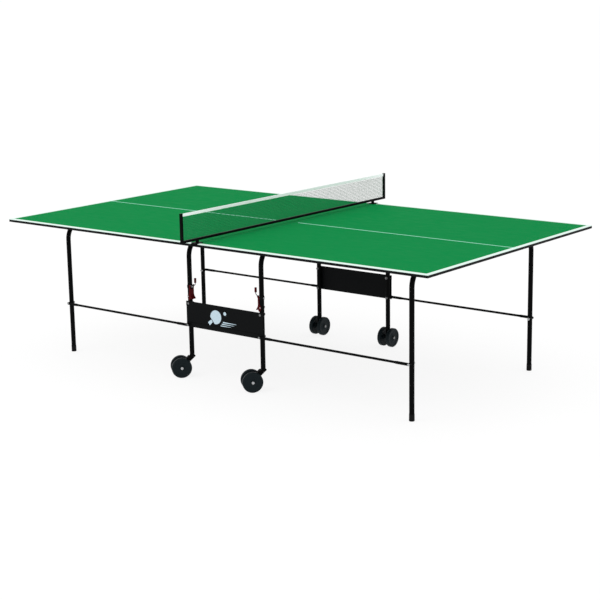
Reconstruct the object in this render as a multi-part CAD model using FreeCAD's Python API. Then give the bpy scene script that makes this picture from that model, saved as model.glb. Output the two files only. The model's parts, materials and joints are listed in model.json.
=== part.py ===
import FreeCAD, Part
import math
import os

# Folding table-tennis table on a wheeled carriage.
# Millimetres. +X runs along the table, +Y across it, +Z up, with the origin on the floor under its centre.
# "near" is the -Y side and "far" the +Y side. Each board half folds up about its carriage tube,
# so it ends upright while its end leg stays vertical and the stay rods turn upright with it.

Vec = FreeCAD.Vector
X_AXIS = Vec(1, 0, 0)
Y_AXIS = Vec(0, 1, 0)
Z_AXIS = Vec(0, 0, 1)

# Playing surface
TABLE_LENGTH = 2740.0
TABLE_WIDTH = 1525.0
TABLE_HEIGHT = 760.0
CENTRE_GAP = 6.0
BOARD_THICKNESS = 15.0
BOARD_TOP_LIP = 3.5
TRIM_SHEET = 1.0
TRIM_FLANGE = 18.0

# Bent tube frames
TUBE_R = 12.5
TUBE_WALL = 1.5
BEND_R = 95.0
FRAME_HALF_WIDTH = 546.0
CARRIAGE_X = 241.0
LEG_X = 1140.0
FOLD_AXIS_BELOW_BOARD = 15.5
RUNNING_CLEARANCE = 0.05

# Wheels
WHEEL_R = 53.0
WHEEL_WIDTH = 24.0
WHEEL_INNER_FACE = 16.0
AXLE_R = 5.0
AXLE_CAP_R = 7.5
AXLE_CAP_THICKNESS = 3.0
CASTOR_TRAIL = 59.0
CASTOR_ANGLE = 228.7
CASTOR_TUBE_END = 112.0
CASTOR_STEM_R = 5.0
CASTOR_STEM_TOP = 148.0
CASTOR_HUB_R = 12.5
CASTOR_ARM_HALF_WIDTH = 11.0
CASTOR_ARM_TOP = 110.2
CASTOR_HEEL_REACH = 17.0
CASTOR_HEEL_BEVEL = 2.0
CASTOR_COLLAR_HEIGHT = 1.5
CASTOR_PLUG_LENGTH = 40.0
REAR_TUBE_END = 36.0

# Side panels, stay rods and their bolts
PANEL_HALF_LENGTH = 257.0
PANEL_BOTTOM = 268.0
PANEL_TOP = 403.0
PANEL_SHEET = 1.5
PANEL_HEM = 24.0
PANEL_BOLT_Z = 391.0
STAY_Z = 278.0
STAY_Y = 571.0
STAY_R = 6.0
STAY_FLAT_HEIGHT = 14.0
STAY_FLAT_THICKNESS = 3.6
STAY_FLAT_LENGTH = 66.0
STAY_TAPER_LENGTH = 14.0
OPEN_PIVOT_CLEARANCE = 0.3
BOLT_R = 4.0
BOLT_HEAD_R = 6.0
BOLT_HEAD_HEIGHT = 3.0
NUT_ACROSS_FLATS = 13.0
NUT_HEIGHT = 5.5
SPACER_R = 7.0

# Feet of the end legs
FOOT_R = 13.5
FOOT_HEIGHT = 34.0
FOOT_SOLE = 4.0

# Saddles that carry the boards on the tubes
SADDLE_Y = 380.0
SADDLE_WIDTH = 30.0
SADDLE_SHEET = 2.0
SADDLE_EAR_REACH = 30.0
SADDLE_SCREW_OFFSET = 22.0
SCREW_R = 2.0
SCREW_LENGTH = 12.0
SCREW_HEAD_R = 4.0
SCREW_HEAD_HEIGHT = 2.4

# Net
NET_BAR_BOTTOM = 774.0
NET_BAR_HEIGHT = 12.0
NET_BAR_DEPTH = 12.0
NET_BAR_WALL = 1.2
NET_POST_CENTRE = 853.0
NET_POST_TOP = 919.5
NET_TOP = 920.0
NET_TAPE_HEIGHT = 15.0
NET_TAPE_THICKNESS = 2.8
NET_MESH_THICKNESS = 1.8
NET_CAP_HEIGHT = 2.0
NET_CAP_PLUG = 8.0
NET_FOOT_SIZE = 40.0
NET_FOOT_LIFT = 0.3
NET_FLANGE_GAP = 0.3
NET_FLANGE_SHEET = 3.0
NET_FLANGE_DROP = 12.0
NET_FOOT_PLATE = 3.0
NET_TONGUE_THICKNESS = 1.2
NET_TONGUE_DEPTH = 14.0
NET_TONGUE_INSET = 3.0
NET_RISER_WIDTH = 12.0

# Latches on the near carriage tubes, given for the right one; the left one is its mirror image
LATCH_PIN_Z = 428.0
LATCH_PIN_R = 2.0
LATCH_PIN_HEAD_R = 3.5
LATCH_PIN_HEAD_HEIGHT = 1.2
LATCH_PIN_END_GAP = 0.3
LATCH_SPRING_R = 3.6
LATCH_SPRING_LENGTH = 5.0
LATCH_BOLT_Z = 478.0
LATCH_BOLT_R = 2.0
LATCH_BOLT_HEAD_R = 4.8
LATCH_BOLT_HEAD_HEIGHT = 2.6
LATCH_NUT_ACROSS_FLATS = 7.0
LATCH_NUT_HEIGHT = 3.0
LATCH_CLIP_SHEET = 1.5
LATCH_CLIP_HALF_HEIGHT = 9.0
LATCH_CLIP_PAD = 6.0
LATCH_CLIP_RISE = 0.5
LEVER_SHEET = 1.4
LEVER_GAP = 0.3
HOOK_WIRE_R = 2.0
HOOK_TIP_R = 6.0
HOOK_TIP_BOTTOM = 501.0
HOOK_TIP_HEIGHT = 25.0

# Latch outlines as (distance from the tube's axis towards the table's middle, height)
LEVER_OUTLINE = [(5, 483), (8, 488.5), (17, 488.5), (18.7, 486.8), (18.7, 483), (14.2, 476), (14.2, 440),
                 (17, 430), (26, 418), (27, 415.5), (23, 414.5), (14, 420), (9, 409), (4, 407),
                 (-5.5, 422), (-5.5, 433), (5, 446)]
LEVER_CAVITY = [(-20, 400), (-20, 495), (25, 495), (25, 466), (12.8, 466), (12.8, 439.6), (15.4, 430.4),
                (22, 419.5), (22, 400)]
HOOK_POINTS = [(16.2, 485.2), (31, 486), (38, 493.5), (38, 519)]

# Values that follow from the ones above
BOARD_BOTTOM = TABLE_HEIGHT - BOARD_THICKNESS
TUBE_Z = BOARD_BOTTOM - FOLD_AXIS_BELOW_BOARD
INNER_EDGE = CENTRE_GAP / 2
OUTER_EDGE = TABLE_LENGTH / 2
HALF_WIDTH = TABLE_WIDTH / 2
BORE_R = TUBE_R + RUNNING_CLEARANCE
TUBE_OUTER_SIDE = FRAME_HALF_WIDTH + TUBE_R
TUBE_INNER_SIDE = FRAME_HALF_WIDTH - TUBE_R
PANEL_OUTER_SIDE = TUBE_OUTER_SIDE + 2 * PANEL_SHEET
LEVER_INSIDE = TUBE_R + LEVER_GAP
LEVER_OUTSIDE = LEVER_INSIDE + LEVER_SHEET
STAY_INNER_SIDE = STAY_Y - STAY_FLAT_THICKNESS / 2
STAY_OUTER_SIDE = STAY_Y + STAY_FLAT_THICKNESS / 2
SIDES = (("left", -1), ("right", 1))
DEPTHS = (("near", -1), ("far", 1))


def block(x0, x1, y0, y1, z0, z1):
    """Box between two opposite corners, given in any order."""
    low = Vec(min(x0, x1), min(y0, y1), min(z0, z1))
    return Part.makeBox(abs(x1 - x0), abs(y1 - y0), abs(z1 - z0), low)


def rod(radius, start, end):
    """Solid cylinder from one point to another."""
    run = end - start
    return Part.makeCylinder(radius, run.Length, start, run)


def sleeve(outer, inner, start, end):
    """Hollow cylinder from one point to another."""
    return rod(outer, start, end).cut(rod(inner, start, end))


def join(shapes):
    """One solid from touching or overlapping shapes."""
    return shapes[0].fuse(shapes[1:]).removeSplitter()


def mirror_x(shape):
    """The same shape on the other side of the YZ plane."""
    return shape.mirror(Vec(0, 0, 0), X_AXIS)


def prism_y(points, y0, y1):
    """Flat outline of (x, z) points, extruded along Y."""
    corners = [Vec(x, y0, z) for x, z in points]
    face = Part.Face(Part.makePolygon(corners + corners[:1]))
    return face.extrude(Vec(0, y1 - y0, 0))


def hex_nut(bolt_radius, start, end, across_flats=NUT_ACROSS_FLATS):
    """Hexagonal nut from start to end along its bolt."""
    run = end - start
    radius = across_flats / math.sqrt(3)
    corners = [Vec(radius * math.cos(math.radians(60 * i)), radius * math.sin(math.radians(60 * i)), 0)
               for i in range(7)]
    nut = Part.Face(Part.makePolygon(corners)).extrude(Vec(0, 0, run.Length))
    nut.Placement = FreeCAD.Placement(start, FreeCAD.Rotation(Z_AXIS, run))
    return nut.cut(rod(bolt_radius, start, end))


def round_head(radius, height, base, direction):
    """Low bolt head with a rounded outer rim."""
    head = Part.makeCylinder(radius, height, base, direction)
    rim = [e for e in head.Edges if e.Closed and (e.CenterOfMass - base).Length > height / 2]
    return head.makeFillet(height * 0.45, rim)


def bent_run(radius, x, near_end, far_end):
    """Round bar bent into an inverted U across the table at one x."""
    y = FRAME_HALF_WIDTH
    turn = y - BEND_R
    drop = TUBE_Z - BEND_R
    mid = BEND_R * (1 - math.sqrt(0.5))
    path = Part.Wire([
        Part.LineSegment(Vec(x, -y, near_end), Vec(x, -y, drop)).toShape(),
        Part.Arc(Vec(x, -y, drop), Vec(x, -y + mid, TUBE_Z - mid), Vec(x, -turn, TUBE_Z)).toShape(),
        Part.LineSegment(Vec(x, -turn, TUBE_Z), Vec(x, turn, TUBE_Z)).toShape(),
        Part.Arc(Vec(x, turn, TUBE_Z), Vec(x, y - mid, TUBE_Z - mid), Vec(x, y, drop)).toShape(),
        Part.LineSegment(Vec(x, y, drop), Vec(x, y, far_end)).toShape(),
    ])
    ring = Part.Wire([Part.makeCircle(radius, Vec(x, -y, near_end), Z_AXIS)])
    return path.makePipeShell([ring], True, True)


def bent_frame(x, near_end, far_end):
    """Hollow inverted-U frame."""
    outside = bent_run(TUBE_R, x, near_end, far_end)
    inside = bent_run(TUBE_R - TUBE_WALL, x, near_end - 1, far_end - 1)
    return outside.cut(inside)


def cross_hole(radius, x, side, z):
    """Cutter for a hole along Y through the upright tube at x on one side of the table."""
    return rod(radius, Vec(x, side * (TUBE_INNER_SIDE - 2), z), Vec(x, side * (TUBE_OUTER_SIDE + 5), z))


def carriage_frame(side):
    """Inner inverted U: castor socket at its near end, fixed wheel axle at its far end."""
    x = side * CARRIAGE_X
    frame = bent_frame(x, CASTOR_TUBE_END, REAR_TUBE_END)
    for depth in (-1, 1):
        for z in (STAY_Z, PANEL_BOLT_Z):
            frame = frame.cut(cross_hole(BOLT_R, x, depth, z))
    axle_y = FRAME_HALF_WIDTH
    frame = frame.cut(rod(AXLE_R, Vec(x - 20, axle_y, WHEEL_R), Vec(x + 20, axle_y, WHEEL_R)))
    frame = frame.cut(cross_hole(LATCH_PIN_R, x, -1, LATCH_PIN_Z))
    bolt_y = -FRAME_HALF_WIDTH
    return frame.cut(rod(LATCH_BOLT_R, Vec(x - 20, bolt_y, LATCH_BOLT_Z), Vec(x + 20, bolt_y, LATCH_BOLT_Z)))


def end_leg(side):
    """Outer inverted U that carries the outer end of one board half."""
    x = side * LEG_X
    frame = bent_frame(x, FOOT_SOLE, FOOT_SOLE)
    for depth in (-1, 1):
        frame = frame.cut(cross_hole(BOLT_R, x, depth, STAY_Z))
    return frame


def leg_feet(side):
    """Two plastic cups over the ends of one end leg."""
    feet = []
    for depth in (-1, 1):
        base = Vec(side * LEG_X, depth * FRAME_HALF_WIDTH, 0)
        cup = Part.makeCylinder(FOOT_R, FOOT_HEIGHT, base)
        sole = [e for e in cup.Edges if e.Closed and e.CenterOfMass.z < 1]
        cup = cup.makeFillet(1.5, sole)
        feet.append(cup.cut(Part.makeCylinder(TUBE_R, FOOT_HEIGHT, base + Vec(0, 0, FOOT_SOLE))))
    return Part.makeCompound(feet)


def board(side):
    """One half of the playing surface, with a rebate for its edge trim and pilot holes for its saddles."""
    lip = TABLE_HEIGHT - BOARD_TOP_LIP
    top = block(INNER_EDGE, OUTER_EDGE, -HALF_WIDTH, HALF_WIDTH, lip, TABLE_HEIGHT)
    inset = TRIM_SHEET
    core = block(INNER_EDGE + inset, OUTER_EDGE - inset, -HALF_WIDTH + inset, HALF_WIDTH - inset,
                 BOARD_BOTTOM, lip)
    panel = join([top, core])
    for x, y in saddle_screw_places():
        panel = panel.cut(Part.makeCylinder(SCREW_R, SCREW_LENGTH, Vec(x, y, BOARD_BOTTOM)))
    return panel if side > 0 else mirror_x(panel)


def edge_trim(side):
    """Angle-section steel edging around one board half."""
    top = TABLE_HEIGHT - BOARD_TOP_LIP
    outside = block(INNER_EDGE, OUTER_EDGE, -HALF_WIDTH, HALF_WIDTH, BOARD_BOTTOM - TRIM_SHEET, top)
    t = TRIM_SHEET
    pocket = block(INNER_EDGE + t, OUTER_EDGE - t, -HALF_WIDTH + t, HALF_WIDTH - t, BOARD_BOTTOM, top)
    f = TRIM_FLANGE
    window = block(INNER_EDGE + f, OUTER_EDGE - f, -HALF_WIDTH + f, HALF_WIDTH - f,
                   BOARD_BOTTOM - 2 * t, BOARD_BOTTOM)
    trim = outside.cut(pocket).cut(window)
    return trim if side > 0 else mirror_x(trim)


def saddle_places():
    """Centre of each saddle of the right half: along x on the tube, across at y."""
    return [(x, y) for x in (CARRIAGE_X, LEG_X) for y in (-SADDLE_Y, SADDLE_Y)]


def saddle_screw_places():
    """Screw positions in the feet of the saddle straps."""
    return [(x + dx, y) for x, y in saddle_places() for dx in (-SADDLE_SCREW_OFFSET, SADDLE_SCREW_OFFSET)]


def saddle_strap(x, y):
    """Omega-shaped strap that holds a tube under the board and lets it turn."""
    y0 = y - SADDLE_WIDTH / 2
    y1 = y + SADDLE_WIDTH / 2
    outer = BORE_R + SADDLE_SHEET
    ear_bottom = BOARD_BOTTOM - SADDLE_SHEET
    round_outside = rod(outer, Vec(x, y0, TUBE_Z), Vec(x, y1, TUBE_Z))
    walls = block(x - outer, x + outer, y0, y1, TUBE_Z, BOARD_BOTTOM)
    lower_half = block(x - outer, x + outer, y0, y1, TUBE_Z - outer, TUBE_Z)
    ears = block(x - SADDLE_EAR_REACH, x + SADDLE_EAR_REACH, y0, y1, ear_bottom, BOARD_BOTTOM)
    strap = join([round_outside.common(lower_half), walls, ears])
    strap = strap.cut(rod(BORE_R, Vec(x, y0, TUBE_Z), Vec(x, y1, TUBE_Z)))
    strap = strap.cut(block(x - BORE_R, x + BORE_R, y0, y1, TUBE_Z, BOARD_BOTTOM))
    for dx in (-SADDLE_SCREW_OFFSET, SADDLE_SCREW_OFFSET):
        strap = strap.cut(Part.makeCylinder(SCREW_R, SADDLE_SHEET * 2, Vec(x + dx, y, ear_bottom - 1)))
    return strap


def saddle_pad(x, y):
    """Plastic pad between a tube and the board above it."""
    half = SADDLE_WIDTH / 2 - 3
    pad = block(x - 9, x + 9, y - half, y + half, TUBE_Z + 5, BOARD_BOTTOM)
    return pad.cut(rod(BORE_R, Vec(x, y - half, TUBE_Z), Vec(x, y + half, TUBE_Z)))


def saddle_screw(x, y):
    """Wood screw through a saddle ear into the board."""
    head_top = BOARD_BOTTOM - SADDLE_SHEET
    head = round_head(SCREW_HEAD_R, SCREW_HEAD_HEIGHT, Vec(x, y, head_top), Vec(0, 0, -1))
    return join([head, Part.makeCylinder(SCREW_R, SADDLE_SHEET + SCREW_LENGTH, Vec(x, y, head_top))])


def on_side(shapes, side):
    """Group of solids made for the right half, moved to the asked side."""
    group = Part.makeCompound(shapes)
    return group if side > 0 else mirror_x(group)


def side_panel(depth):
    """Sheet panel that ties the two carriage frames, with its top and bottom edges hemmed."""
    reach = PANEL_HALF_LENGTH
    inner = depth * TUBE_OUTER_SIDE
    middle = depth * (TUBE_OUTER_SIDE + PANEL_SHEET)
    outer = depth * PANEL_OUTER_SIDE
    sheet = block(-reach, reach, inner, middle, PANEL_BOTTOM, PANEL_TOP)
    top_hem = block(-reach, reach, middle, outer, PANEL_TOP - PANEL_HEM, PANEL_TOP)
    bottom_hem = block(-reach, reach, middle, outer, PANEL_BOTTOM, PANEL_BOTTOM + PANEL_HEM)
    panel = join([sheet, top_hem, bottom_hem])
    for x in (-CARRIAGE_X, CARRIAGE_X):
        for z in (STAY_Z, PANEL_BOLT_Z):
            panel = panel.cut(cross_hole(BOLT_R, x, depth, z))
    return panel


def bolt_and_nut(x, depth, z, head_face):
    """Bolt along Y through an upright tube, its head outside and its nut inside."""
    outward = Vec(0, depth, 0)
    tip = Vec(x, depth * (TUBE_INNER_SIDE - NUT_HEIGHT - 3), z)
    shank = rod(BOLT_R, tip, Vec(x, depth * head_face, z))
    head = round_head(BOLT_HEAD_R, BOLT_HEAD_HEIGHT, Vec(x, depth * head_face, z), outward)
    nut_end = Vec(x, depth * (TUBE_INNER_SIDE - NUT_HEIGHT), z)
    nut = hex_nut(BOLT_R, nut_end, Vec(x, depth * TUBE_INNER_SIDE, z))
    return [join([shank, head]), nut]


def panel_bolts():
    """Upper bolts of the two side panels."""
    solids = []
    for x in (-CARRIAGE_X, CARRIAGE_X):
        for depth in (-1, 1):
            solids += bolt_and_nut(x, depth, PANEL_BOLT_Z, PANEL_OUTER_SIDE)
    return Part.makeCompound(solids)


def stay_bolts(xs):
    """Pivot bolts of the stay rods at the given x positions."""
    solids = []
    for x in xs:
        for depth in (-1, 1):
            solids += bolt_and_nut(x, depth, STAY_Z, STAY_OUTER_SIDE + OPEN_PIVOT_CLEARANCE)
    return Part.makeCompound(solids)


def stay_spacers(xs, inner_face):
    """Sleeves that hold the stay rods off the tubes, cut to seat on whatever is behind them."""
    solids = []
    for x in xs:
        for depth in (-1, 1):
            start = Vec(x, depth * inner_face, STAY_Z)
            end = Vec(x, depth * (STAY_INNER_SIDE - OPEN_PIVOT_CLEARANCE), STAY_Z)
            solids.append(sleeve(SPACER_R, BOLT_R, start, end))
    return Part.makeCompound(solids)


def stay_taper(x, inward, y):
    """Stretch of a stay rod between its flattened end at x and the round rod."""
    end = x + inward * STAY_TAPER_LENGTH
    tall = STAY_FLAT_HEIGHT / 2
    thin = STAY_FLAT_THICKNESS / 2
    clear = STAY_R + 0.3
    side_outline = [(x, STAY_Z - tall), (end, STAY_Z - clear), (end, STAY_Z + clear), (x, STAY_Z + tall)]
    side_view = prism_y(side_outline, y - 2 * tall, y + 2 * tall)
    plan = [Vec(x, y - thin, 0), Vec(end, y - clear, 0), Vec(end, y + clear, 0), Vec(x, y + thin, 0)]
    top_view = Part.Face(Part.makePolygon(plan + plan[:1])).extrude(Vec(0, 0, 2 * STAY_Z))
    cone = Part.makeCone(tall + 0.4, STAY_R, STAY_TAPER_LENGTH, Vec(x, y, STAY_Z), Vec(inward, 0, 0))
    return side_view.common(top_view).common(cone)


def stay_end(x, inward, y, bore):
    """Flattened end of a stay rod, drilled for its bolt and tapering into the round rod."""
    half_height = STAY_FLAT_HEIGHT / 2
    y0 = y - STAY_FLAT_THICKNESS / 2
    y1 = y + STAY_FLAT_THICKNESS / 2
    eye = rod(half_height, Vec(x, y0, STAY_Z), Vec(x, y1, STAY_Z))
    flat_end = x + inward * STAY_FLAT_LENGTH
    flat = block(x, flat_end, y0, y1, STAY_Z - half_height, STAY_Z + half_height)
    taper = stay_taper(flat_end, inward, y)
    solid = join([eye, flat, taper])
    return solid.cut(rod(bore, Vec(x, y0 - 1, STAY_Z), Vec(x, y1 + 1, STAY_Z)))


def stay_rod(side, depth):
    """Lower link between one carriage tube and one end leg, on the outer side of both."""
    y = depth * STAY_Y
    inner = side * CARRIAGE_X
    outer = side * LEG_X
    reach = side * (STAY_FLAT_LENGTH + STAY_TAPER_LENGTH)
    middle = rod(STAY_R, Vec(inner + reach, y, STAY_Z), Vec(outer - reach, y, STAY_Z))
    carriage_end = stay_end(inner, side, y, BOLT_R + RUNNING_CLEARANCE)
    leg_end = stay_end(outer, -side, y, BOLT_R + OPEN_PIVOT_CLEARANCE)
    return join([middle, carriage_end, leg_end])


def wheel(centre, axis_angle, outward):
    """Moulded disc wheel; its axle runs at axis_angle in the floor plane."""
    w = WHEEL_WIDTH
    bore = AXLE_R + RUNNING_CLEARANCE
    section = [(bore, 0), (13, 0), (13, 3), (38, 5), (44, 1), (50, 1), (WHEEL_R, 4), (WHEEL_R, w - 4),
               (50, w - 1), (44, w - 1), (38, w - 4), (14, w - 3), (14, w), (bore, w)]
    corners = [Vec(radius, 0, WHEEL_INNER_FACE + along) for radius, along in section]
    disc = Part.Face(Part.makePolygon(corners + corners[:1])).revolve(Vec(0, 0, 0), Z_AXIS, 360)
    direction = outward * math.cos(math.radians(axis_angle)), outward * math.sin(math.radians(axis_angle)), 0
    disc.Placement = FreeCAD.Placement(centre, FreeCAD.Rotation(Z_AXIS, Vec(*direction)))
    return disc


def axle(centre, axis_angle):
    """Axle with a round cap at each end."""
    direction = Vec(math.cos(math.radians(axis_angle)), math.sin(math.radians(axis_angle)), 0)
    cap_start = WHEEL_INNER_FACE + WHEEL_WIDTH + 0.5
    shaft = rod(AXLE_R, centre - direction * cap_start, centre + direction * cap_start)
    caps = []
    for sign in (-1, 1):
        outward = direction * sign
        caps.append(round_head(AXLE_CAP_R, AXLE_CAP_THICKNESS, centre + outward * cap_start, outward))
    return join([shaft] + caps)


def castor_place(side):
    """Point on the floor under one castor's stem, and the point where its axle's middle lies."""
    stem = Vec(side * CARRIAGE_X, -FRAME_HALF_WIDTH, 0)
    turn = math.radians(CASTOR_ANGLE)
    hub = stem + Vec(CASTOR_TRAIL * math.cos(turn), CASTOR_TRAIL * math.sin(turn), WHEEL_R)
    return stem, hub


def castor_arm(side):
    """Slanted swivel arm with its stem and its axle hub, made pointing along +X and then turned."""
    tangent = CASTOR_HUB_R * math.sqrt(0.5)
    upper = (CASTOR_TRAIL + tangent, WHEEL_R + tangent)
    lower = (CASTOR_TRAIL - tangent, WHEEL_R - tangent)
    outline = [(-CASTOR_HEEL_REACH, CASTOR_ARM_TOP - CASTOR_HEEL_BEVEL),
               (-CASTOR_HEEL_REACH + CASTOR_HEEL_BEVEL, CASTOR_ARM_TOP),
               (upper[0] + upper[1] - CASTOR_ARM_TOP, CASTOR_ARM_TOP), upper, lower]
    bar = prism_y(outline, -CASTOR_ARM_HALF_WIDTH, CASTOR_ARM_HALF_WIDTH)
    stem = rod(CASTOR_STEM_R, Vec(0, 0, CASTOR_ARM_TOP - 10), Vec(0, 0, CASTOR_STEM_TOP))
    hub_end = WHEEL_INNER_FACE - 1
    hub = rod(CASTOR_HUB_R, Vec(CASTOR_TRAIL, -hub_end, WHEEL_R), Vec(CASTOR_TRAIL, hub_end, WHEEL_R))
    arm = join([bar, stem, hub])
    arm = arm.cut(rod(AXLE_R, Vec(CASTOR_TRAIL, -30, WHEEL_R), Vec(CASTOR_TRAIL, 30, WHEEL_R)))
    arm.rotate(Vec(0, 0, 0), Z_AXIS, CASTOR_ANGLE)
    arm.translate(castor_place(side)[0])
    return arm


def castor_sockets():
    """Plastic plugs in the near tube ends, bored for the castor stems."""
    solids = []
    for _, side in SIDES:
        end = castor_place(side)[0] + Vec(0, 0, CASTOR_TUBE_END)
        bottom = end - Vec(0, 0, CASTOR_COLLAR_HEIGHT)
        plug = Part.makeCylinder(TUBE_R - TUBE_WALL, CASTOR_PLUG_LENGTH, end)
        collar = Part.makeCylinder(TUBE_R + 1, CASTOR_COLLAR_HEIGHT, bottom)
        bore = Part.makeCylinder(CASTOR_STEM_R + RUNNING_CLEARANCE, CASTOR_PLUG_LENGTH + 10, bottom)
        solids.append(join([plug, collar]).cut(bore))
    return Part.makeCompound(solids)


def rear_hub(side):
    """Middle of one fixed rear axle."""
    return Vec(side * CARRIAGE_X, FRAME_HALF_WIDTH, WHEEL_R)


def rear_axle_spacers():
    """Sleeves between each far tube and its two wheels, coped to the tube."""
    solids = []
    for _, side in SIDES:
        hub = rear_hub(side)
        tube = Part.makeCylinder(TUBE_R, 60, hub - Vec(0, 0, 30))
        for sign in (-1, 1):
            end = hub + Vec(sign * (WHEEL_INNER_FACE - 0.4), 0, 0)
            solids.append(sleeve(8, AXLE_R, hub, end).cut(tube))
    return Part.makeCompound(solids)


def rear_end_plugs():
    """Plastic plugs that close the far tube ends, below the axles."""
    solids = []
    for _, side in SIDES:
        base = Vec(side * CARRIAGE_X, FRAME_HALF_WIDTH, REAR_TUBE_END)
        disc = Part.makeCylinder(TUBE_R, 2.5, base - Vec(0, 0, 2.5))
        skirt = Part.makeCylinder(TUBE_R - TUBE_WALL, 10, base)
        solids.append(join([disc, skirt]))
    return Part.makeCompound(solids)


def latch_place(reach, across, z):
    """Point near the right latch: reach is from the tube's axis towards the table's middle."""
    return Vec(CARRIAGE_X - reach, -FRAME_HALF_WIDTH + across, z)


def latch_prism(outline, half_width):
    """Outline of (reach, height) points, extruded to both sides of the tube's axis."""
    points = [(CARRIAGE_X - reach, z) for reach, z in outline]
    return prism_y(points, -FRAME_HALF_WIDTH - half_width, -FRAME_HALF_WIDTH + half_width)


def latch_bracket():
    """Half-round clip with a flat pad, under the latch bolt's head on the tube's outer side."""
    low = LATCH_BOLT_Z - LATCH_CLIP_HALF_HEIGHT
    high = LATCH_BOLT_Z + LATCH_CLIP_HALF_HEIGHT
    outer = TUBE_R + LATCH_CLIP_SHEET
    ring = rod(outer, latch_place(0, 0, low), latch_place(0, 0, high))
    half = LATCH_CLIP_PAD
    pad = block(CARRIAGE_X, CARRIAGE_X + outer + LATCH_CLIP_RISE, -FRAME_HALF_WIDTH - half,
                -FRAME_HALF_WIDTH + half, LATCH_BOLT_Z - half, LATCH_BOLT_Z + half)
    clip = join([ring, pad]).cut(rod(TUBE_R, latch_place(0, 0, low), latch_place(0, 0, high)))
    clip = clip.cut(block(CARRIAGE_X - 2 * outer, CARRIAGE_X, -FRAME_HALF_WIDTH - 2 * outer,
                          -FRAME_HALF_WIDTH + 2 * outer, low, high))
    bolt_end = latch_place(-2 * outer, 0, LATCH_BOLT_Z)
    return clip.cut(rod(LATCH_BOLT_R, latch_place(0, 0, LATCH_BOLT_Z), bolt_end))


def latch_pin():
    """Pin across the tube that the lever turns on, with a flat head at each end."""
    near = latch_place(0, -LEVER_OUTSIDE - LATCH_PIN_END_GAP, LATCH_PIN_Z)
    far = latch_place(0, LEVER_OUTSIDE + LATCH_SPRING_LENGTH + 2 * LATCH_PIN_END_GAP, LATCH_PIN_Z)
    near_head = round_head(LATCH_PIN_HEAD_R, LATCH_PIN_HEAD_HEIGHT, near, -Y_AXIS)
    far_head = round_head(LATCH_PIN_HEAD_R, LATCH_PIN_HEAD_HEIGHT, far, Y_AXIS)
    return join([rod(LATCH_PIN_R, near, far), near_head, far_head])


def latch_bolt():
    """Bolt along X through the tube: its head is on the clip and its nut on the tube's inner side."""
    head_base = latch_place(-TUBE_R - LATCH_CLIP_SHEET - LATCH_CLIP_RISE, 0, LATCH_BOLT_Z)
    nut_base = latch_place(TUBE_R, 0, LATCH_BOLT_Z)
    nut_end = latch_place(TUBE_R + LATCH_NUT_HEIGHT, 0, LATCH_BOLT_Z)
    tip = nut_end - X_AXIS * 0.4
    head = round_head(LATCH_BOLT_HEAD_R, LATCH_BOLT_HEAD_HEIGHT, head_base, X_AXIS)
    nut = hex_nut(LATCH_BOLT_R, nut_base, nut_end, LATCH_NUT_ACROSS_FLATS)
    return [join([rod(LATCH_BOLT_R, tip, head_base), head]), nut]


def latch_spring():
    """Torsion spring coiled on the far end of the lever's pin, as its outer shape."""
    start = LEVER_OUTSIDE + LATCH_PIN_END_GAP
    return sleeve(LATCH_SPRING_R, LATCH_PIN_R + RUNNING_CLEARANCE, latch_place(0, start, LATCH_PIN_Z),
                  latch_place(0, start + LATCH_SPRING_LENGTH, LATCH_PIN_Z))


def latch_lever():
    """Channel-shaped lever that straddles the tube, turns on the pin below and ends in a finger tab."""
    lever = latch_prism(LEVER_OUTLINE, LEVER_OUTSIDE).cut(latch_prism(LEVER_CAVITY, LEVER_INSIDE))
    bore = LATCH_PIN_R + RUNNING_CLEARANCE
    lever = lever.cut(rod(bore, latch_place(0, -20, LATCH_PIN_Z), latch_place(0, 20, LATCH_PIN_Z)))
    return lever.cut(hook_wire())


def hook_wire():
    """Bent spring wire that stands up from the lever and holds the folded board's lower edge."""
    points = [latch_place(reach, 0, z) for reach, z in HOOK_POINTS]
    pieces = [rod(HOOK_WIRE_R, a, b) for a, b in zip(points, points[1:])]
    elbows = [Part.makeSphere(HOOK_WIRE_R, point) for point in points[1:-1]]
    reach, z = HOOK_POINTS[0]
    end = LEVER_OUTSIDE + 0.6
    anchor = rod(HOOK_WIRE_R, latch_place(reach, -end, z), latch_place(reach, end, z))
    return join([anchor] + pieces + elbows)


def hook_tip():
    """Plastic cap on the upper end of the hook wire."""
    base = latch_place(HOOK_POINTS[-1][0], 0, HOOK_TIP_BOTTOM)
    cap = Part.makeCylinder(HOOK_TIP_R, HOOK_TIP_HEIGHT, base)
    rims = [e for e in cap.Edges if e.Closed]
    return cap.makeFillet(2.0, rims).cut(hook_wire())


def net_bar():
    """Rectangular tube under the net."""
    reach = NET_POST_CENTRE - NET_BAR_DEPTH / 2
    half = NET_BAR_DEPTH / 2
    top = NET_BAR_BOTTOM + NET_BAR_HEIGHT
    wall = NET_BAR_WALL
    tube = block(-half, half, -reach, reach, NET_BAR_BOTTOM, top)
    return tube.cut(block(-half + wall, half - wall, -reach, reach, NET_BAR_BOTTOM + wall, top - wall))


def net_posts():
    """Square tube post at each end of the bar, standing outside the table's edge."""
    half = NET_BAR_DEPTH / 2
    inner = half - NET_BAR_WALL
    posts = []
    for depth in (-1, 1):
        y = depth * NET_POST_CENTRE
        post = block(-half, half, y - half, y + half, NET_BAR_BOTTOM, NET_POST_TOP)
        hollow = block(-inner, inner, y - inner, y + inner, NET_BAR_BOTTOM + NET_BAR_WALL, NET_POST_TOP)
        posts.append(post.cut(hollow))
    return Part.makeCompound(posts)


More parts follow.
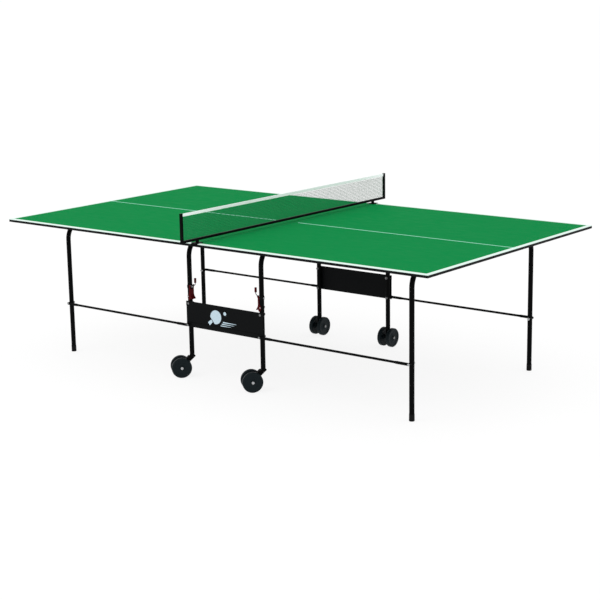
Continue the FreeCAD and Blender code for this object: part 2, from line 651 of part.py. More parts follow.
def net_caps():
    """Plastic caps in the post tops."""
    half = NET_BAR_DEPTH / 2
    inner = half - NET_BAR_WALL
    caps = []
    for depth in (-1, 1):
        y = depth * NET_POST_CENTRE
        plug = block(-inner, inner, y - inner, y + inner, NET_POST_TOP - NET_CAP_PLUG, NET_POST_TOP)
        lid = block(-half, half, y - half, y + half, NET_POST_TOP, NET_POST_TOP + NET_CAP_HEIGHT)
        caps.append(join([plug, lid]))
    return Part.makeCompound(caps)


def net_mesh():
    """The net between bar, posts and tape, as a thin closed sheet."""
    reach = NET_POST_CENTRE - NET_BAR_DEPTH / 2
    half = NET_MESH_THICKNESS / 2
    bottom = NET_BAR_BOTTOM + NET_BAR_HEIGHT
    return block(-half, half, -reach, reach, bottom, NET_TOP - NET_TAPE_HEIGHT)


def net_tape():
    """White band along the net's top edge."""
    reach = NET_POST_CENTRE - NET_BAR_DEPTH / 2
    half = NET_TAPE_THICKNESS / 2
    return block(-half, half, -reach, reach, NET_TOP - NET_TAPE_HEIGHT, NET_TOP)


def net_feet():
    """Foot plates on the two board halves, each with a tongue in the gap between them and a flange
    that hangs over the board's edge."""
    feet = []
    size = NET_FOOT_SIZE
    base = TABLE_HEIGHT + NET_FOOT_LIFT
    for depth in (-1, 1):
        outer = depth * HALF_WIDTH
        inner = depth * (HALF_WIDTH - size)
        flange_inner = outer + depth * NET_FLANGE_GAP
        flange_outer = flange_inner + depth * NET_FLANGE_SHEET
        plate = block(-size / 2, size / 2, inner, flange_outer, base, base + NET_FOOT_PLATE)
        flange_bottom = base - NET_FLANGE_DROP
        flange = block(-size / 2, size / 2, flange_inner, flange_outer, flange_bottom, base)
        middle = (inner + outer) / 2
        near = middle - NET_RISER_WIDTH / 2
        far = middle + NET_RISER_WIDTH / 2
        half = NET_BAR_DEPTH / 2
        riser = block(-half, half, near, far, base + NET_FOOT_PLATE, NET_BAR_BOTTOM)
        half = NET_TONGUE_THICKNESS / 2
        start = inner + depth * NET_TONGUE_INSET
        end = outer - depth * NET_TONGUE_INSET
        tongue = block(-half, half, start, end, base - NET_TONGUE_DEPTH, base)
        feet.append(join([plate, flange, riser, tongue]))
    return Part.makeCompound(feet)


def build_parts():
    """Every node of the table by name."""
    nodes = {}
    for name, side in SIDES:
        nodes["carriage_frame_" + name] = carriage_frame(side)
        nodes["board_" + name] = board(side)
        nodes["edge_trim_" + name] = edge_trim(side)
        nodes["saddle_straps_" + name] = on_side([saddle_strap(x, y) for x, y in saddle_places()], side)
        nodes["saddle_pads_" + name] = on_side([saddle_pad(x, y) for x, y in saddle_places()], side)
        screws = [saddle_screw(x, y) for x, y in saddle_screw_places()]
        nodes["saddle_screws_" + name] = on_side(screws, side)
        nodes["end_leg_" + name] = end_leg(side)
        nodes["leg_feet_" + name] = leg_feet(side)
        nodes["leg_bolts_" + name] = stay_bolts([side * LEG_X])
        nodes["leg_spacers_" + name] = stay_spacers([side * LEG_X], TUBE_OUTER_SIDE)
        nodes["latch_lever_" + name] = on_side([latch_lever()], side)
        nodes["latch_hook_" + name] = on_side([hook_wire()], side)
        nodes["latch_tip_" + name] = on_side([hook_tip()], side)
        hub = castor_place(side)[1]
        axle_angle = CASTOR_ANGLE + 90
        nodes["castor_arm_" + name] = castor_arm(side)
        nodes["castor_axle_" + name] = axle(hub, axle_angle)
        nodes["castor_wheel_" + name + "_front"] = wheel(hub, axle_angle, 1)
        nodes["castor_wheel_" + name + "_back"] = wheel(hub, axle_angle, -1)
        nodes["rear_wheel_" + name + "_outer"] = wheel(rear_hub(side), 0, side)
        nodes["rear_wheel_" + name + "_inner"] = wheel(rear_hub(side), 0, -side)
        for place, depth in DEPTHS:
            nodes["stay_rod_" + name + "_" + place] = stay_rod(side, depth)
    for place, depth in DEPTHS:
        nodes["side_panel_" + place] = side_panel(depth)
    nodes["panel_bolts"] = panel_bolts()
    nodes["stay_pivot_bolts"] = stay_bolts([-CARRIAGE_X, CARRIAGE_X])
    nodes["stay_pivot_spacers"] = stay_spacers([-CARRIAGE_X, CARRIAGE_X], PANEL_OUTER_SIDE)
    nodes["castor_sockets"] = castor_sockets()
    nodes["rear_axles"] = Part.makeCompound([axle(rear_hub(side), 0) for _, side in SIDES])
    nodes["rear_axle_spacers"] = rear_axle_spacers()
    nodes["rear_end_plugs"] = rear_end_plugs()
    nodes["latch_brackets"] = Part.makeCompound([latch_bracket(), mirror_x(latch_bracket())])
    fasteners = [latch_pin()] + latch_bolt()
    nodes["latch_fasteners"] = Part.makeCompound(fasteners + [mirror_x(solid) for solid in fasteners])
    nodes["latch_springs"] = Part.makeCompound([latch_spring(), mirror_x(latch_spring())])
    nodes["net_bar"] = net_bar()
    nodes["net_posts"] = net_posts()
    nodes["net_caps"] = net_caps()
    nodes["net_mesh"] = net_mesh()
    nodes["net_tape"] = net_tape()
    nodes["net_feet"] = net_feet()
    return nodes


def write_parts():
    """Writes one STEP file per node."""
    os.makedirs("parts", exist_ok=True)
    for name, shape in build_parts().items():
        shape.exportStep("parts/" + name + ".step")
        volume = round(shape.Volume / 1000, 2)
        print(name, "solids", len(shape.Solids), "valid", shape.isValid(), "cm3", volume)


write_parts()
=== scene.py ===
import json
import math
import random

import bpy
from mathutils import Matrix, Vector

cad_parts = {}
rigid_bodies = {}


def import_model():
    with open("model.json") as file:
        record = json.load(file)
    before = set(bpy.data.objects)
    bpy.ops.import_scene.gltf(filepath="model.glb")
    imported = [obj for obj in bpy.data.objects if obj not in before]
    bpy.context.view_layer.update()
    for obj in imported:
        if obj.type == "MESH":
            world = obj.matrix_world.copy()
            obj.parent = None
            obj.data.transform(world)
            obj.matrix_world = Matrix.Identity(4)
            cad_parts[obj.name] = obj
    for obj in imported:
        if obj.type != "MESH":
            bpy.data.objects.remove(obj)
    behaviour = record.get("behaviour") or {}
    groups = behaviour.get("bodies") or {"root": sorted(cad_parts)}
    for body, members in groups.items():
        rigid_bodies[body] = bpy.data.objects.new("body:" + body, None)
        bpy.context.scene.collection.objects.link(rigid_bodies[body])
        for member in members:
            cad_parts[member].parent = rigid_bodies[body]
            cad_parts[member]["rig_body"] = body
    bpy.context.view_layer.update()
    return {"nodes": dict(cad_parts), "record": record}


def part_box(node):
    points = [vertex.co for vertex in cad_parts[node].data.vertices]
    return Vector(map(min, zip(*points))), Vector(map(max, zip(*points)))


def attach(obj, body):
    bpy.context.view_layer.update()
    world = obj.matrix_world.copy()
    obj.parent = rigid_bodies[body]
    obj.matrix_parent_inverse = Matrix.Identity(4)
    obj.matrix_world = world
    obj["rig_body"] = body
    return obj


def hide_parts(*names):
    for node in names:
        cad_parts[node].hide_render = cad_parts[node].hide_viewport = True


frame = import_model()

# Painted lines of the playing surface: widths, the bare stretch at the net, and how deep the paint goes
BORDER_LINE = 0.020
CENTRE_LINE = 0.0070
CENTRE_LINE_GAP = (-0.060, 0.045)
LINE_SOFTNESS = 0.0002
BOARD_LIP = 0.0035

# Netting, its band and stitches. Drift is a share of the pitch, cover a share of the net's outline,
# and foot, pinch and ripple are shares of the band's half thickness.
MESH_PITCH = 0.0080
CORD_RADIUS = 0.00068
KNOT_RADIUS = 0.00090
CORD_SIDES = 5
CORD_DRIFT = 0.10
CORD_WAVE = 0.00015
BAND_STEPS = 220
BAND_FOOT = 0.62
BAND_PINCH = 0.70
BAND_RIPPLE = 0.06
BAND_DIP = 0.00012
STITCH_LENGTH = 0.0030
STITCH_PITCH = 0.0042
STITCH_RADIUS = 0.00028
STITCH_INSET = 0.0030

# CAD nodes: shading limit and the small rounding of exposed edges
SHARP_ANGLE = 32.0
EDGE_BEVEL = 0.0003
BEVELLED_SLOTS = ("black_panel", "black_plastic", "red_plastic")

# Wheels and latch springs
LATHE_STEPS = 96
SPRING_WIRE = 0.00045
SPRING_TURNS = 9
SPRING_STEPS = 20

# Panel print
PANEL_HEM_SHEET = 0.0015
INK_THICKNESS = 0.00015
# Heights and radii are shares of the panel's height, and x places are metres from the middle.
BAT_X = -0.056
BAT_HEIGHT = 0.54
BAT_RADIUS = 0.28
BAT_TILT = -50
BAT_OUTLINE_STEPS = 40
BALL_X = 0.006
BALL_HEIGHT = 0.73
BALL_RADIUS = 0.070
DISC_STEPS = 40
SPEED_LINES = ((-0.008, 0.082), (-0.016, 0.066), (-0.024, 0.044))
SPEED_LINE_TOP = 0.385
SPEED_LINE_STEP = 0.072
SPEED_LINE_THICKNESS = 0.024
SPEED_LINE_THINNING = 0.003
SPEED_LINE_TIP = 0.3

# Camera and light
CAMERA_PLACE = (4.8626, -6.0508, 2.0660)
CAMERA_YAW = -38.497
CAMERA_PITCH = -12.577
CAMERA_ROLL = -0.947
CAMERA_LENS = 88.8
SENSOR_WIDTH = 36.0
CAMERA_REACH = 500.0
FLOOR_RADIUS = 150.0
FLOOR_ALBEDO = 0.16
FLOOR_GLOW = 0.86
SKY_STRENGTH = 1.0
LAMP_AIM = (0, 0, 0.5)
LAMPS = (("key", (-2.0, -4.5, 4.5), 4.0, 50.0), ("fill", (5.0, 2.0, 5.0), 5.0, 25.0))

SIDES = ("left", "right")


# ---------------------------------------------------------------- shader building

class Shader:
    """A node material whose textures are laid out in the frame's own metres."""

    def __init__(self, name, colour, roughness, metallic=0.0, specular=0.5):
        self.material = bpy.data.materials.new(name)
        self.material.use_nodes = True
        self.material.diffuse_color = (*colour, 1.0)
        self.tree = self.material.node_tree
        self.bsdf = self.tree.nodes["Principled BSDF"]
        self.bsdf.inputs["Base Color"].default_value = (*colour, 1.0)
        self.bsdf.inputs["Roughness"].default_value = roughness
        self.bsdf.inputs["Metallic"].default_value = metallic
        self.bsdf.inputs["Specular IOR Level"].default_value = specular
        self.place = self.tree.nodes.new("ShaderNodeTexCoord").outputs["Object"]

    def put(self, socket, value):
        if isinstance(value, bpy.types.NodeSocket):
            self.tree.links.new(value, socket)
        elif isinstance(value, tuple) and len(value) == 3 and socket.type == "RGBA":
            socket.default_value = (*value, 1.0)
        else:
            socket.default_value = value

    def node(self, kind, inputs, **settings):
        made = self.tree.nodes.new(kind)
        for key, value in settings.items():
            setattr(made, key, value)
        for key, value in inputs.items():
            self.put(made.inputs[key], value)
        return made

    def math(self, operation, a, b=0.0):
        return self.node("ShaderNodeMath", {0: a, 1: b}, operation=operation).outputs[0]

    def split(self):
        return self.node("ShaderNodeSeparateXYZ", {0: self.place}).outputs

    def stretch(self, scale):
        """The place, scaled by a vector, for a texture that is longer one way."""
        return self.node("ShaderNodeMapping", {"Vector": self.place, "Scale": scale}).outputs[0]

    def noise(self, scale, detail=2.0, place=None):
        inputs = {"Vector": place or self.place, "Scale": scale, "Detail": detail}
        return self.node("ShaderNodeTexNoise", inputs).outputs["Fac"]

    def remap(self, value, low, high, to_low, to_high):
        inputs = {"Value": value, 1: low, 2: high, 3: to_low, 4: to_high}
        return self.node("ShaderNodeMapRange", inputs, clamp=True).outputs[0]

    def above(self, value, limit, softness=LINE_SOFTNESS):
        """1 where value is over the limit, 0 where it is under, with a soft step between."""
        return self.remap(value, limit - softness, limit + softness, 0.0, 1.0)

    def mix(self, factor, a, b):
        made = self.tree.nodes.new("ShaderNodeMix")
        made.data_type = "RGBA"
        self.put(made.inputs[0], factor)
        self.put(made.inputs[6], a)
        self.put(made.inputs[7], b)
        return made.outputs[2]

    def vary_colour(self, colour, factor, shift):
        """Colour that drifts by a share towards lighter and darker with factor."""
        dark = tuple(c * (1 - shift) for c in colour)
        light = tuple(min(1.0, c * (1 + shift)) for c in colour)
        return self.mix(factor, dark, light)

    def colour(self, value):
        self.put(self.bsdf.inputs["Base Color"], value)

    def roughness(self, value):
        self.put(self.bsdf.inputs["Roughness"], value)

    def bump(self, height, distance, strength=1.0):
        below = self.bsdf.inputs["Normal"].links
        inputs = {"Height": height, "Distance": distance, "Strength": strength}
        if below:
            inputs["Normal"] = below[0].from_socket
        self.put(self.bsdf.inputs["Normal"], self.node("ShaderNodeBump", inputs).outputs[0])


# ---------------------------------------------------------------- materials

def board_paint():
    """Green playing surface with white lines; bare board and a dark backing sheet below the lip."""
    low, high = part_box("board_right")
    green = (0.0042, 0.238, 0.060)
    white = (0.76, 0.90, 0.84)
    centre_white = (0.48, 0.98, 0.80)
    s = Shader("board_paint", green, 0.55, specular=0.002)
    x, y, z = s.split()
    along = s.math("ABSOLUTE", x)
    across = s.math("ABSOLUTE", y)
    side_line = s.above(across, high.y - BORDER_LINE)
    end_line = s.above(along, high.x - BORDER_LINE)
    centre_line = s.math("SUBTRACT", 1.0, s.above(across, CENTRE_LINE / 2))
    gap_start, gap_end = CENTRE_LINE_GAP
    bare = s.math("SUBTRACT", s.above(x, gap_start), s.above(x, gap_end))
    centre_line = s.math("MULTIPLY", centre_line, s.math("SUBTRACT", 1.0, bare))
    line = s.math("MAXIMUM", s.math("MAXIMUM", side_line, end_line), centre_line)
    mottle = s.noise(2.2, 3.0)
    grain = s.noise(900.0, 2.0)
    tone = s.math("ADD", s.math("MULTIPLY", mottle, 0.5), s.math("MULTIPLY", grain, 0.5))
    lines = s.mix(centre_line, s.vary_colour(white, tone, 0.05), s.vary_colour(centre_white, tone, 0.05))
    paint = s.mix(line, s.vary_colour(green, tone, 0.07), lines)
    chip_fibre = s.noise(260.0, 6.0)
    backing = s.vary_colour((0.035, 0.034, 0.032), chip_fibre, 0.5)
    lip = high.z - BOARD_LIP - LINE_SOFTNESS
    s.colour(s.mix(s.above(z, lip), backing, paint))
    wiped = s.noise(14.0, 5.0, s.stretch((1.0, 3.0, 1.0)))
    s.roughness(s.remap(wiped, 0.3, 0.7, 0.48, 0.62))
    s.bump(grain, 0.00008, 0.5)
    s.bump(line, 0.00006, 0.6)
    return s.material


def powder_coat(name, colour, roughness, specular, orange_peel=0.35):
    """Sprayed powder coat: fine orange peel, slight cloudiness and a dusting of lighter specks."""
    s = Shader(name, colour, roughness, specular=specular)
    peel = s.noise(1100.0, 1.5)
    cloud = s.noise(9.0, 4.0)
    dust = s.remap(s.noise(420.0, 3.0), 0.66, 0.80, 0.0, 0.35)
    base = s.vary_colour(colour, cloud, 0.25)
    pale = tuple(c * 2.2 + 0.004 for c in colour)
    s.colour(s.mix(dust, base, pale))
    s.roughness(s.remap(cloud, 0.3, 0.7, roughness - 0.05, roughness + 0.07))
    s.bump(peel, 0.00010, orange_peel)
    return s.material


def moulded_plastic(name, colour, roughness, specular=0.35, grain=0.35):
    """Injection-moulded plastic: spark-eroded grain, faint flow marks and rubbed patches."""
    s = Shader(name, colour, roughness, specular=specular)
    texture = s.noise(1500.0, 2.0)
    flow = s.noise(24.0, 4.0, s.stretch((1.0, 1.0, 2.5)))
    scuff = s.remap(s.noise(160.0, 6.0), 0.62, 0.78, 0.0, 0.5)
    worn = tuple(c * 1.8 + 0.006 for c in colour)
    s.colour(s.mix(scuff, s.vary_colour(colour, flow, 0.18), worn))
    s.roughness(s.remap(flow, 0.3, 0.7, roughness - 0.06, roughness + 0.08))
    s.bump(texture, 0.00007, grain)
    return s.material


def plated_steel(name, colour, roughness):
    """Zinc-plated steel: crystalline patches, fine drawing lines and dulled spots."""
    s = Shader(name, colour, roughness, metallic=1.0)
    patch = s.noise(330.0, 3.0)
    drawn = s.noise(900.0, 2.0, s.stretch((1.0, 1.0, 6.0)))
    warm = (colour[0] * 1.05, colour[1] * 0.99, colour[2] * 0.88)
    cool = (colour[0] * 0.86, colour[1] * 0.92, colour[2] * 1.02)
    s.colour(s.mix(patch, warm, cool))
    s.roughness(s.remap(patch, 0.3, 0.7, roughness - 0.08, roughness + 0.12))
    s.bump(drawn, 0.00005, 0.4)
    return s.material


def twisted_cord():
    """Net cord: twisted filaments, seen as uneven light and dark patches along each cord."""
    colour = (0.018, 0.120, 0.055)
    s = Shader("net_cord", colour, 0.8, specular=0.05)
    twist = s.noise(2600.0, 2.0, s.stretch((1.0, 1.0, 0.5)))
    s.colour(s.vary_colour(colour, twist, 0.45))
    s.roughness(s.remap(twist, 0.3, 0.7, 0.72, 0.9))
    s.bump(twist, 0.0001, 0.7)
    return s.material


def woven_band():
    """Cotton band: a plain weave of crossing threads, with painted shade as a little grey in the
    hollows.
    """
    colour = (0.92, 1.00, 0.99)
    s = Shader("woven_band", colour, 0.85, specular=0.2)
    _, y, z = s.split()
    thread = 0.0009
    warp = s.math("SINE", s.math("MULTIPLY", y, 2 * math.pi / thread))
    weft = s.math("SINE", s.math("MULTIPLY", z, 2 * math.pi / thread))
    weave = s.remap(s.math("MULTIPLY", warp, weft), -1.0, 1.0, 0.0, 1.0)
    soil = s.noise(22.0, 4.0)
    thread_tone = s.vary_colour(colour, soil, 0.05)
    # Painted shade: the hollows of the weave are mixed a little towards grey.
    s.colour(s.mix(s.remap(weave, 0.0, 0.5, 0.15, 0.0), thread_tone, (0.52, 0.56, 0.55)))
    s.roughness(s.remap(weave, 0.0, 1.0, 0.92, 0.78))
    s.bump(weave, 0.0002, 0.8)
    s.bsdf.inputs["Sheen Weight"].default_value = 0.2
    return s.material


def printed_ink():
    """Pale screen-printed ink, a little thin in places."""
    colour = (0.52, 0.66, 0.74)
    s = Shader("printed_ink", colour, 0.5, specular=0.3)
    thin = s.noise(240.0, 5.0)
    s.colour(s.vary_colour(colour, thin, 0.10))
    s.roughness(s.remap(thin, 0.3, 0.7, 0.42, 0.6))
    s.bump(thin, 0.00003, 0.4)
    return s.material


MATERIALS = {
    "green_surface": board_paint(),
    "black_edge": powder_coat("edge_coat", (0.0030, 0.0038, 0.0045), 0.42, 0.06),
    "black_frame": powder_coat("frame_coat", (0.0018, 0.0020, 0.0022), 0.42, 0.035),
    "black_panel": powder_coat("panel_coat", (0.0028, 0.0033, 0.0037), 0.50, 0.05, 0.5),
    "black_plastic": moulded_plastic("black_plastic", (0.0040, 0.0042, 0.0046), 0.50, 0.08),
    "wheel_plastic": moulded_plastic("wheel_plastic", (0.0065, 0.0110, 0.0130), 0.42, 0.07),
    "red_plastic": moulded_plastic("red_plastic", (0.062, 0.0022, 0.0035), 0.38, 0.035),
    "zinc_steel": plated_steel("zinc_steel", (0.44, 0.45, 0.46), 0.38),
    "spring_steel": plated_steel("spring_steel", (0.16, 0.16, 0.17), 0.38),
    "net_cord": twisted_cord(),
    "net_band": woven_band(),
}

# The bolts and caps low on the carriage take a darker copy of the plated steel.
DARKENED_ZINC = plated_steel("darkened_zinc", (0.22, 0.225, 0.23), 0.45)
DARKENED_NODES = ("panel_bolts", "stay_pivot_bolts", "rear_axles")


def dress_cad_nodes():
    """Each CAD node takes the material of its slot, or the darker copy of it."""
    for entry in frame["record"]["subparts"]:
        node = frame["nodes"][entry["node"]]
        darkened = entry["node"] in DARKENED_NODES
        node.data.materials.clear()
        node.data.materials.append(DARKENED_ZINC if darkened else MATERIALS[entry["material_slot"]])
        node.data.shade_smooth()
        node.data.set_sharp_from_angle(angle=math.radians(SHARP_ANGLE))
        if entry["material_slot"] in BEVELLED_SLOTS:
            bevel = node.modifiers.new("worn_edges", "BEVEL")
            bevel.width = EDGE_BEVEL
            bevel.segments = 2
            bevel.limit_method = "ANGLE"
            bevel.angle_limit = math.radians(SHARP_ANGLE)
            bevel.harden_normals = True


# ---------------------------------------------------------------- mesh building

def new_piece(name, points, faces, material, body, smooth_angle=None):
    """A mesh object that rides on a CAD body."""
    mesh = bpy.data.meshes.new(name)
    mesh.from_pydata([tuple(p) for p in points], [], faces)
    mesh.validate()
    if smooth_angle is not None:
        mesh.shade_smooth()
        mesh.set_sharp_from_angle(angle=math.radians(smooth_angle))
    piece = bpy.data.objects.new(name, mesh)
    bpy.context.scene.collection.objects.link(piece)
    mesh.materials.append(material)
    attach(piece, body)
    return piece


def basis_for(direction):
    """Two unit vectors square to a direction and to each other."""
    guide = Vector((0, 0, 1)) if abs(direction.z) < 0.9 else Vector((1, 0, 0))
    first = direction.cross(guide).normalized()
    return first, direction.cross(first).normalized()


def add_tube(points, faces, path, radius, sides=6):
    """Adds a closed tube that follows a path to lists of points and faces."""
    start = len(points)
    for i, centre in enumerate(path):
        ahead = path[min(i + 1, len(path) - 1)] - path[max(i - 1, 0)]
        first, second = basis_for(ahead.normalized())
        for k in range(sides):
            turn = 2 * math.pi * k / sides
            points.append(centre + radius * (math.cos(turn) * first + math.sin(turn) * second))
    for i in range(len(path) - 1):
        ring = start + i * sides
        for k in range(sides):
            nxt = (k + 1) % sides
            faces.append((ring + k, ring + nxt, ring + sides + nxt, ring + sides + k))
    faces.append(tuple(start + k for k in reversed(range(sides))))
    faces.append(tuple(start + (len(path) - 1) * sides + k for k in range(sides)))


def add_knot(points, faces, centre, radius):
    """Adds an eight-sided bead."""
    start = len(points)
    for axis in range(3):
        for sign in (-1, 1):
            offset = Vector((0, 0, 0))
            offset[axis] = sign * radius
            points.append(centre + offset)
    for a in (0, 1):
        for b in (2, 3):
            for c in (4, 5):
                flip = (a + b + c) % 2
                order = (a, b, c) if flip else (a, c, b)
                faces.append(tuple(start + k for k in order))


# ---------------------------------------------------------------- wheels

def lathe(section, steps):
    """Points and faces of a closed section of (radius, along) turned about +Z."""
    points = []
    faces = []
    count = len(section)
    for i in range(steps):
        turn = 2 * math.pi * i / steps
        points += [Vector((r * math.cos(turn), r * math.sin(turn), z)) for r, z in section]
    for i in range(steps):
        here = i * count
        there = ((i + 1) % steps) * count
        for k in range(count):
            nxt = (k + 1) % count
            faces.append((here + k, here + nxt, there + nxt, there + k))
    return points, faces


def wheel_section(radius, w, bore):
    """Half section of a moulded wheel of width w, from the bore out: hub, dished web, rim and tread."""
    mm = 0.001
    rim = radius - 3.2 * mm
    return [
        (bore, 0), (12.2 * mm, 0), (12.8 * mm, 0.6 * mm), (13.2 * mm, 3.6 * mm),
        (15 * mm, 4.4 * mm),
        (36 * mm, 5.2 * mm), (39 * mm, 4.4 * mm), (41 * mm, 1.6 * mm), (42.5 * mm, 1.0 * mm),
        (rim - 1.2 * mm, 1.0 * mm), (rim, 1.3 * mm), (radius - 1.0 * mm, 2.8 * mm), (radius, 4.6 * mm),
        (radius, w / 2 - 0.5 * mm), (radius - 0.35 * mm, w / 2), (radius, w / 2 + 0.5 * mm),
        (radius, w - 4.6 * mm), (radius - 1.0 * mm, w - 2.8 * mm), (rim, w - 1.3 * mm),
        (rim - 1.2 * mm, w - 1.0 * mm), (42.5 * mm, w - 1.0 * mm), (41 * mm, w - 1.6 * mm),
        (39.5 * mm, w - 3.2 * mm), (30 * mm, w - 4.0 * mm), (29.2 * mm, w - 3.5 * mm),
        (28.4 * mm, w - 4.0 * mm), (18 * mm, w - 3.4 * mm), (15.4 * mm, w - 2.6 * mm),
        (14.6 * mm, w - 0.5 * mm), (14 * mm, w), (10 * mm, w), (9.2 * mm, w - 1.2 * mm),
        (bore, w - 1.2 * mm),
    ]


def make_wheel(node, partner, material):
    """A detailed wheel in the place of its CAD node; partner is the other wheel on the same axle."""
    low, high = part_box(node)
    other_low, other_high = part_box(partner)
    middle = (low + high) / 2
    outward = middle - (other_low + other_high) / 2
    outward.z = 0
    outward.normalize()
    radius = (high.z - low.z) / 2
    corners = [v.co - middle for v in frame["nodes"][node].data.vertices]
    reach = [c.dot(outward) for c in corners]
    width = max(reach) - min(reach)
    bore = min(math.sqrt(max(0.0, c.length_squared - c.dot(outward) ** 2)) for c in corners)
    points, faces = lathe(wheel_section(radius, width, bore), LATHE_STEPS)
    turn = Vector((0, 0, 1)).rotation_difference(outward).to_matrix().to_4x4()
    place = Matrix.Translation(middle + outward * min(reach)) @ turn
    body = frame["nodes"][node]["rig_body"]
    piece = new_piece("moulded_" + node, [place @ p for p in points], faces, material, body, 28)
    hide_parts(node)


def make_wheels():
    """All eight wheels, in pairs that share an axle."""
    material = MATERIALS["wheel_plastic"]
    for side in SIDES:
        pairs = (("castor_wheel_", ("front", "back")), ("rear_wheel_", ("outer", "inner")))
        for kind, ends in pairs:
            stem = kind + side
            first = stem + "_" + ends[0]
            second = stem + "_" + ends[1]
            make_wheel(first, second, material)
            make_wheel(second, first, material)


# ---------------------------------------------------------------- latch springs

def make_springs():
    """A wound torsion spring with two legs on each latch pin."""
    low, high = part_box("latch_springs")
    radius = (high.z - low.z) / 2
    middle_y = (low.y + high.y) / 2
    length = high.y - low.y - 2 * SPRING_WIRE
    last = SPRING_TURNS * SPRING_STEPS
    points = []
    faces = []
    for sign, edge in ((-1, low.x), (1, high.x)):
        centre = Vector((edge - sign * radius, middle_y, (low.z + high.z) / 2))
        coil = []
        for i in range(last + 1):
            turn = 2 * math.pi * i / SPRING_STEPS
            along = length * (i / last - 0.5)
            arm = (radius - SPRING_WIRE) * Vector((math.cos(turn), 0, math.sin(turn)))
            coil.append(centre + arm + Vector((0, along, 0)))
        lever_leg = [Vector((-sign * 0.004, 0, 0.010)), Vector((0, 0, 0.002))]
        clip_leg = [Vector((0, 0, -0.003)), Vector((sign * 0.002, 0, -0.008))]
        path = [coil[0] + step for step in lever_leg] + coil + [coil[-1] + step for step in clip_leg]
        add_tube(points, faces, path, SPRING_WIRE)
    piece = new_piece("latch_torsion_springs", points, faces, MATERIALS["spring_steel"], "carriage", 50)
    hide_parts("latch_springs")


# ---------------------------------------------------------------- net

def make_net():
    """Knotted square netting, stretched between bar, posts and band."""
    rng = random.Random(11)
    low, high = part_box("net_mesh")
    columns = round((high.y - low.y) / MESH_PITCH)
    rows = round((high.z - low.z) / MESH_PITCH)

    def crossing(i, j):
        y = low.y + (high.y - low.y) * i / columns
        z = low.z + (high.z - low.z) * j / rows
        inside = 1.0 if 0 < i < columns and 0 < j < rows else 0.0
        drift = CORD_DRIFT * MESH_PITCH * inside
        x = rng.uniform(-CORD_WAVE, CORD_WAVE)
        return Vector((x, y + rng.uniform(-drift, drift), z + rng.uniform(-drift, drift)))

    grid = [[crossing(i, j) for j in range(rows + 1)] for i in range(columns + 1)]
    points = []
    faces = []
    for i in range(1, columns):
        add_tube(points, faces, grid[i], CORD_RADIUS, CORD_SIDES)
    for j in range(1, rows):
        add_tube(points, faces, [column[j] for column in grid], CORD_RADIUS, CORD_SIDES)
    for column in grid[1:-1]:
        for knot in column[1:-1]:
            add_knot(points, faces, knot, KNOT_RADIUS)
    netting = new_piece("netting", points, faces, MATERIALS["net_cord"], "net", 60)
    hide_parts("net_mesh")
    return netting


def make_band():
    """White band folded over the net's top cord, slightly rippled where the stitches pull it."""
    rng = random.Random(5)
    low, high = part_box("net_tape")
    half = (high.x - low.x) / 2
    bend = [(half * math.cos(math.radians(a)), high.z - half + half * math.sin(math.radians(a)))
            for a in range(0, 181, 20)]
    pinch_z = low.z + STITCH_INSET
    foot_x = half * BAND_FOOT
    pinch_x = half * BAND_PINCH
    outline = [(foot_x, low.z), (pinch_x, pinch_z)] + bend + [(-pinch_x, pinch_z), (-foot_x, low.z)]
    points = []
    faces = []
    count = len(outline)
    for i in range(BAND_STEPS + 1):
        y = low.y + (high.y - low.y) * i / BAND_STEPS
        ripple = rng.uniform(1.0 - BAND_RIPPLE, 1.0)
        dip = rng.uniform(0.0, BAND_DIP) / (high.z - low.z)
        points += [Vector((x * ripple, y, z - dip * (z - low.z))) for x, z in outline]
    for i in range(BAND_STEPS):
        here = i * count
        for k in range(count):
            nxt = (k + 1) % count
            faces.append((here + k, here + count + k, here + count + nxt, here + nxt))
    faces.append(tuple(range(count)))
    faces.append(tuple(BAND_STEPS * count + k for k in reversed(range(count))))
    band = new_piece("net_band", points, faces, MATERIALS["net_band"], "net", 50)
    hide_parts("net_tape")
    return band


def make_stitches():
    """A row of stitches along the lower edge of the band, on both faces."""
    low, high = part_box("net_tape")
    half = (high.x - low.x) / 2
    z = low.z + STITCH_INSET
    face_x = half * BAND_PINCH
    points = []
    faces = []
    count = int((high.y - low.y) / STITCH_PITCH)
    for sign in (-1, 1):
        for i in range(count):
            y = low.y + STITCH_PITCH * (i + 0.2)
            ends = [Vector((sign * face_x, y, z)), Vector((sign * face_x, y + STITCH_LENGTH, z))]
            add_tube(points, faces, ends, STITCH_RADIUS, CORD_SIDES)
    stitches = new_piece("band_stitches", points, faces, MATERIALS["net_band"], "net", 60)
    return stitches


# ---------------------------------------------------------------- emblem

def disc_outline(centre, radius):
    """Points of a circle."""
    turns = [2 * math.pi * i / DISC_STEPS for i in range(DISC_STEPS)]
    return [(centre[0] + radius * math.cos(turn), centre[1] + radius * math.sin(turn)) for turn in turns]


def turned(outline, pivot, degrees):
    """An outline turned about the origin and moved to a pivot."""
    c = math.cos(math.radians(degrees))
    s = math.sin(math.radians(degrees))
    return [(pivot[0] + c * u - s * v, pivot[1] + s * u + c * v) for u, v in outline]


def bat_shapes(centre, degrees, radius):
    """A bat seen flat, as a blade with a straight throat and a separate flared handle."""
    blade = []
    for i in range(BAT_OUTLINE_STEPS + 1):
        turn = math.radians(232 - 284 * i / BAT_OUTLINE_STEPS)
        blade.append((0.94 * radius * math.cos(turn), radius * math.sin(turn)))
    handle = [(-0.20 * radius, -0.90 * radius), (0.20 * radius, -0.90 * radius),
              (0.26 * radius, -1.65 * radius), (-0.26 * radius, -1.65 * radius)]
    return [turned(blade, centre, degrees), turned(handle, centre, degrees)]


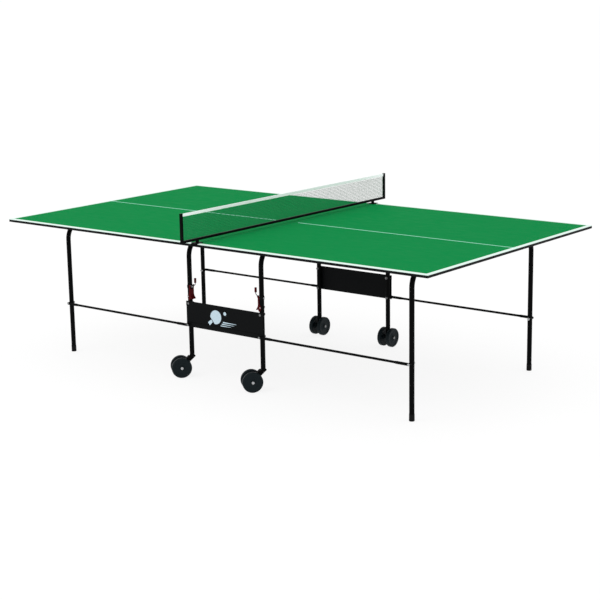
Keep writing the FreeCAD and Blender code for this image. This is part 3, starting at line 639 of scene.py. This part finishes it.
def make_emblem(ink):
    """Generic bat-and-ball mark with three speed lines, printed on the near panel."""
    low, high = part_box("side_panel_near")
    face_y = low.y + PANEL_HEM_SHEET
    height = high.z - low.z
    base = low.z
    shapes = bat_shapes((BAT_X, base + BAT_HEIGHT * height), BAT_TILT, BAT_RADIUS * height)
    shapes.append(disc_outline((BALL_X, base + BALL_HEIGHT * height), BALL_RADIUS * height))
    for i, (start, end) in enumerate(SPEED_LINES):
        z = base + (SPEED_LINE_TOP - SPEED_LINE_STEP * i) * height
        thick = (SPEED_LINE_THICKNESS - SPEED_LINE_THINNING * i) * height
        tip = SPEED_LINE_TIP * thick
        shapes.append([(start, z - thick), (end, z - tip), (end, z + tip), (start, z + thick)])
    points = []
    faces = []
    for outline in shapes:
        start = len(points)
        n = len(outline)
        points += [Vector((x, face_y, z)) for x, z in outline]
        points += [Vector((x, face_y - INK_THICKNESS, z)) for x, z in outline]
        faces.append(tuple(start + n + k for k in range(n)))
        faces.append(tuple(start + k for k in reversed(range(n))))
        for k in range(n):
            nxt = (k + 1) % n
            faces.append((start + k, start + nxt, start + n + nxt, start + n + k))
    new_piece("panel_emblem", points, faces, ink, "carriage")


# ---------------------------------------------------------------- room

def make_floor():
    """A wide pale disc."""
    ring = [(x, y, 0) for x, y in disc_outline((0, 0), FLOOR_RADIUS)]
    mesh = bpy.data.meshes.new("floor")
    mesh.from_pydata(ring, [], [tuple(range(len(ring)))])
    floor = bpy.data.objects.new("floor", mesh)
    bpy.context.scene.collection.objects.link(floor)
    paper = Shader("floor_paper", (FLOOR_ALBEDO,) * 3, 0.9, specular=0.0)
    paper.bsdf.inputs["Emission Color"].default_value = (1, 1, 1, 1)
    paper.bsdf.inputs["Emission Strength"].default_value = FLOOR_GLOW
    mesh.materials.append(paper.material)


def make_lights():
    """An even white sky with a weak key and fill, so that the shadows stay soft."""
    world = bpy.data.worlds.new("studio")
    world.use_nodes = True
    world.node_tree.nodes["Background"].inputs["Color"].default_value = (1, 1, 1, 1)
    world.node_tree.nodes["Background"].inputs["Strength"].default_value = SKY_STRENGTH
    bpy.context.scene.world = world
    for name, place, size, power in LAMPS:
        lamp = bpy.data.lights.new(name, "AREA")
        lamp.shape = "SQUARE"
        lamp.size = size
        lamp.energy = power
        holder = bpy.data.objects.new(name, lamp)
        holder.location = place
        direction = Vector(LAMP_AIM) - Vector(place)
        holder.rotation_euler = direction.to_track_quat("-Z", "Y").to_euler()
        bpy.context.scene.collection.objects.link(holder)


def make_camera():
    """The camera, turned by yaw, pitch and roll from a level look along +Y."""
    yaw = math.radians(CAMERA_YAW)
    pitch = math.radians(CAMERA_PITCH)
    roll = math.radians(CAMERA_ROLL)
    forward = Vector((math.sin(yaw) * math.cos(pitch), math.cos(yaw) * math.cos(pitch), math.sin(pitch)))
    level = Vector((math.cos(yaw), -math.sin(yaw), 0))
    upright = level.cross(forward)
    right = math.cos(roll) * level + math.sin(roll) * upright
    up = -math.sin(roll) * level + math.cos(roll) * upright
    lens = bpy.data.cameras.new("camera")
    lens.lens = CAMERA_LENS
    lens.sensor_width = SENSOR_WIDTH
    lens.clip_end = CAMERA_REACH
    camera = bpy.data.objects.new("camera", lens)
    axes = Matrix((right, up, -forward)).transposed().to_4x4()
    camera.matrix_world = Matrix.Translation(CAMERA_PLACE) @ axes
    bpy.context.scene.collection.objects.link(camera)
    bpy.context.scene.camera = camera


dress_cad_nodes()
make_wheels()
make_springs()
netting = make_net()
band = make_band()
stitches = make_stitches()
make_emblem(printed_ink())
make_floor()
make_lights()
make_camera()
bpy.context.scene.view_settings.view_transform = "Standard"
